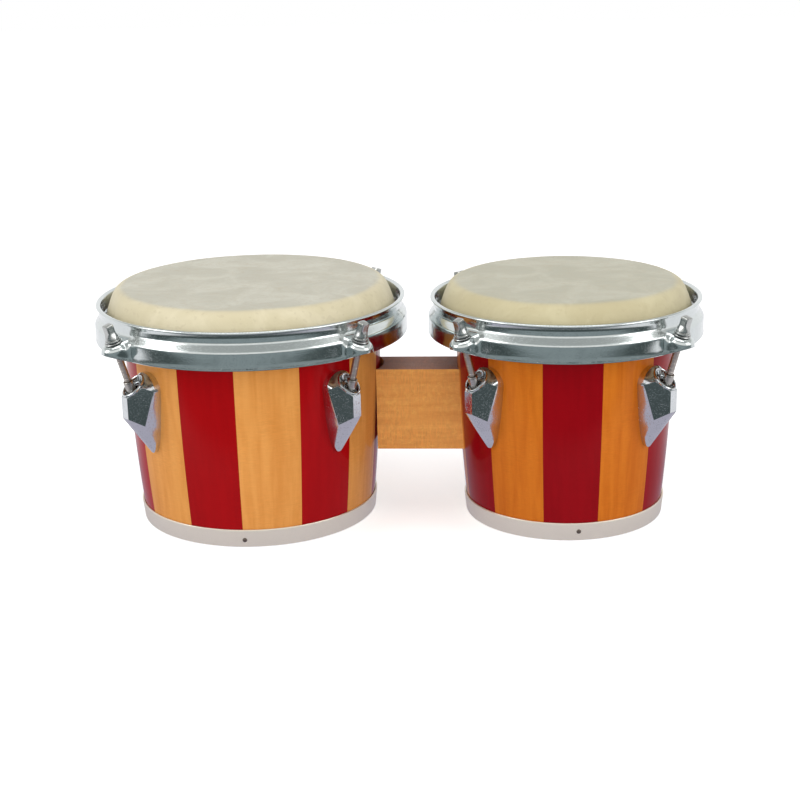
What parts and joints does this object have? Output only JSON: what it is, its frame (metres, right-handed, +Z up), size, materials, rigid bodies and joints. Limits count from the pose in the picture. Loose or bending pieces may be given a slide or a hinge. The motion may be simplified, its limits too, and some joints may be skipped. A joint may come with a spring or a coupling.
{
  "type": "bongos",
  "caption": "Pair of hand drums of unequal size with striped stave shells, rawhide heads and rod-tensioned chrome rims, joined by a wooden block.",
  "frame": {"origin": "on the floor, midway along the pair and midway front to back", "axes": "+Z up through the heads, +X along the pair from the large drum to the small one, -Y the front that the picture shows"},
  "size_m": [0.4724, 0.2438, 0.1863],
  "materials": {
    "natural_lacquer": "glossy lacquer over natural and red staves in turn",
    "block_wood": "satin lacquer over figured natural wood",
    "rawhide": "matt translucent rawhide",
    "chrome": "polished chrome plating on pressed and cast metal",
    "satin_steel": "satin steel strip",
    "zinc": "dull zinc plating",
    "plain_steel": "plain steel"
  },
  "bodies": {
    "drums": {"shell_large": "natural_lacquer", "bottom_band_large": "satin_steel", "band_screw_large_1": "plain_steel", "band_screw_large_2": "plain_steel", "skin_large": "rawhide", "block_screw_large_1": "plain_steel", "block_screw_large_2": "plain_steel", "lug_large_1": "chrome", "lug_screws_large_1": "plain_steel", "swivel_nut_large_1": "plain_steel", "lug_large_2": "chrome", "lug_screws_large_2": "plain_steel", "swivel_nut_large_2": "plain_steel", "lug_large_3": "chrome", "lug_screws_large_3": "plain_steel", "swivel_nut_large_3": "plain_steel", "lug_large_4": "chrome", "lug_screws_large_4": "plain_steel", "swivel_nut_large_4": "plain_steel", "shell_small": "natural_lacquer", "bottom_band_small": "satin_steel", "band_screw_small_1": "plain_steel", "band_screw_small_2": "plain_steel", "skin_small": "rawhide", "block_screw_small_1": "plain_steel", "block_screw_small_2": "plain_steel", "lug_small_1": "chrome", "lug_screws_small_1": "plain_steel", "swivel_nut_small_1": "plain_steel", "lug_small_2": "chrome", "lug_screws_small_2": "plain_steel", "swivel_nut_small_2": "plain_steel", "lug_small_3": "chrome", "lug_screws_small_3": "plain_steel", "swivel_nut_small_3": "plain_steel", "lug_small_4": "chrome", "lug_screws_small_4": "plain_steel", "swivel_nut_small_4": "plain_steel", "centre_block": "block_wood"},
    "rim_large": {"rim_large": "chrome", "flesh_hoop_large": "plain_steel"},
    "washer_large_1": {"washer_large_1": "zinc"},
    "rod_large_1": {"tension_rod_large_1": "zinc"},
    "washer_large_2": {"washer_large_2": "zinc"},
    "rod_large_2": {"tension_rod_large_2": "zinc"},
    "washer_large_3": {"washer_large_3": "zinc"},
    "rod_large_3": {"tension_rod_large_3": "zinc"},
    "washer_large_4": {"washer_large_4": "zinc"},
    "rod_large_4": {"tension_rod_large_4": "zinc"},
    "rim_small": {"rim_small": "chrome", "flesh_hoop_small": "plain_steel"},
    "washer_small_1": {"washer_small_1": "zinc"},
    "rod_small_1": {"tension_rod_small_1": "zinc"},
    "washer_small_2": {"washer_small_2": "zinc"},
    "rod_small_2": {"tension_rod_small_2": "zinc"},
    "washer_small_3": {"washer_small_3": "zinc"},
    "rod_small_3": {"tension_rod_small_3": "zinc"},
    "washer_small_4": {"washer_small_4": "zinc"},
    "rod_small_4": {"tension_rod_small_4": "zinc"}
  },
  "joints": [
    {"name": "rim_slide_large", "type": "slide", "parent": "drums", "child": "rim_large", "axis": [0, 0, 1], "range_m": [-0.00194, 0.00388], "deforming": ["skin_large"]},
    {"name": "washer_slide_large_1", "type": "slide", "parent": "drums", "child": "washer_large_1", "axis": [-0.2074, -0.2178, 0.9537], "range_m": [-0.00185, 0.00371]},
    {"name": "rod_turn_large_1", "type": "hinge", "parent": "washer_large_1", "child": "rod_large_1", "pos_m": [-0.20268, -0.09262, 0.16001], "axis": [-0.2074, -0.2178, 0.9537], "range_deg": [-631, 1261]},
    {"name": "washer_slide_large_2", "type": "slide", "parent": "drums", "child": "washer_large_2", "axis": [0.2178, -0.2074, 0.9537], "range_m": [-0.00185, 0.00371]},
    {"name": "rod_turn_large_2", "type": "hinge", "parent": "washer_large_2", "child": "rod_large_2", "pos_m": [-0.02186, -0.0882, 0.16001], "axis": [0.2178, -0.2074, 0.9537], "range_deg": [-631, 1261]},
    {"name": "washer_slide_large_3", "type": "slide", "parent": "drums", "child": "washer_large_3", "axis": [0.2074, 0.2178, 0.9537], "range_m": [-0.00185, 0.00371]},
    {"name": "rod_turn_large_3", "type": "hinge", "parent": "washer_large_3", "child": "rod_large_3", "pos_m": [-0.02628, 0.09262, 0.16001], "axis": [0.2074, 0.2178, 0.9537], "range_deg": [-631, 1261]},
    {"name": "washer_slide_large_4", "type": "slide", "parent": "drums", "child": "washer_large_4", "axis": [-0.2178, 0.2074, 0.9537], "range_m": [-0.00185, 0.00371]},
    {"name": "rod_turn_large_4", "type": "hinge", "parent": "washer_large_4", "child": "rod_large_4", "pos_m": [-0.2071, 0.0882, 0.16001], "axis": [-0.2178, 0.2074, 0.9537], "range_deg": [-631, 1261]},
    {"name": "rim_slide_small", "type": "slide", "parent": "drums", "child": "rim_small", "axis": [0, 0, 1], "range_m": [-0.00194, 0.00388], "deforming": ["skin_small"]},
    {"name": "washer_slide_small_1", "type": "slide", "parent": "drums", "child": "washer_small_1", "axis": [-0.2074, -0.2178, 0.9537], "range_m": [-0.00185, 0.00371]},
    {"name": "rod_turn_small_1", "type": "hinge", "parent": "washer_small_1", "child": "rod_small_1", "pos_m": [0.05263, -0.08132, 0.16001], "axis": [-0.2074, -0.2178, 0.9537], "range_deg": [-631, 1261]},
    {"name": "washer_slide_small_2", "type": "slide", "parent": "drums", "child": "washer_small_2", "axis": [0.2178, -0.2074, 0.9537], "range_m": [-0.00185, 0.00371]},
    {"name": "rod_turn_small_2", "type": "hinge", "parent": "washer_small_2", "child": "rod_small_2", "pos_m": [0.2114, -0.07744, 0.16001], "axis": [0.2178, -0.2074, 0.9537], "range_deg": [-631, 1261]},
    {"name": "washer_slide_small_3", "type": "slide", "parent": "drums", "child": "washer_small_3", "axis": [0.2074, 0.2178, 0.9537], "range_m": [-0.00185, 0.00371]},
    {"name": "rod_turn_small_3", "type": "hinge", "parent": "washer_small_3", "child": "rod_small_3", "pos_m": [0.20752, 0.08132, 0.16001], "axis": [0.2074, 0.2178, 0.9537], "range_deg": [-631, 1261]},
    {"name": "washer_slide_small_4", "type": "slide", "parent": "drums", "child": "washer_small_4", "axis": [-0.2178, 0.2074, 0.9537], "range_m": [-0.00185, 0.00371]},
    {"name": "rod_turn_small_4", "type": "hinge", "parent": "washer_small_4", "child": "rod_small_4", "pos_m": [0.04875, 0.07744, 0.16001], "axis": [-0.2178, 0.2074, 0.9537], "range_deg": [-631, 1261]}
  ],
  "couplings": [
    {"joint": "washer_slide_large_1", "follows": "rim_slide_large", "ratio": 0.95372},
    {"joint": "rod_turn_large_1", "follows": "rim_slide_large", "rad_per_m": 5662.1},
    {"joint": "washer_slide_large_2", "follows": "rim_slide_large", "ratio": 0.95372},
    {"joint": "rod_turn_large_2", "follows": "rim_slide_large", "rad_per_m": 5662.1},
    {"joint": "washer_slide_large_3", "follows": "rim_slide_large", "ratio": 0.95372},
    {"joint": "rod_turn_large_3", "follows": "rim_slide_large", "rad_per_m": 5662.1},
    {"joint": "washer_slide_large_4", "follows": "rim_slide_large", "ratio": 0.95372},
    {"joint": "rod_turn_large_4", "follows": "rim_slide_large", "rad_per_m": 5662.1},
    {"joint": "washer_slide_small_1", "follows": "rim_slide_small", "ratio": 0.95372},
    {"joint": "rod_turn_small_1", "follows": "rim_slide_small", "rad_per_m": 5662.1},
    {"joint": "washer_slide_small_2", "follows": "rim_slide_small", "ratio": 0.95372},
    {"joint": "rod_turn_small_2", "follows": "rim_slide_small", "rad_per_m": 5662.1},
    {"joint": "washer_slide_small_3", "follows": "rim_slide_small", "ratio": 0.95372},
    {"joint": "rod_turn_small_3", "follows": "rim_slide_small", "rad_per_m": 5662.1},
    {"joint": "washer_slide_small_4", "follows": "rim_slide_small", "ratio": 0.95372},
    {"joint": "rod_turn_small_4", "follows": "rim_slide_small", "rad_per_m": 5662.1}
  ]
}
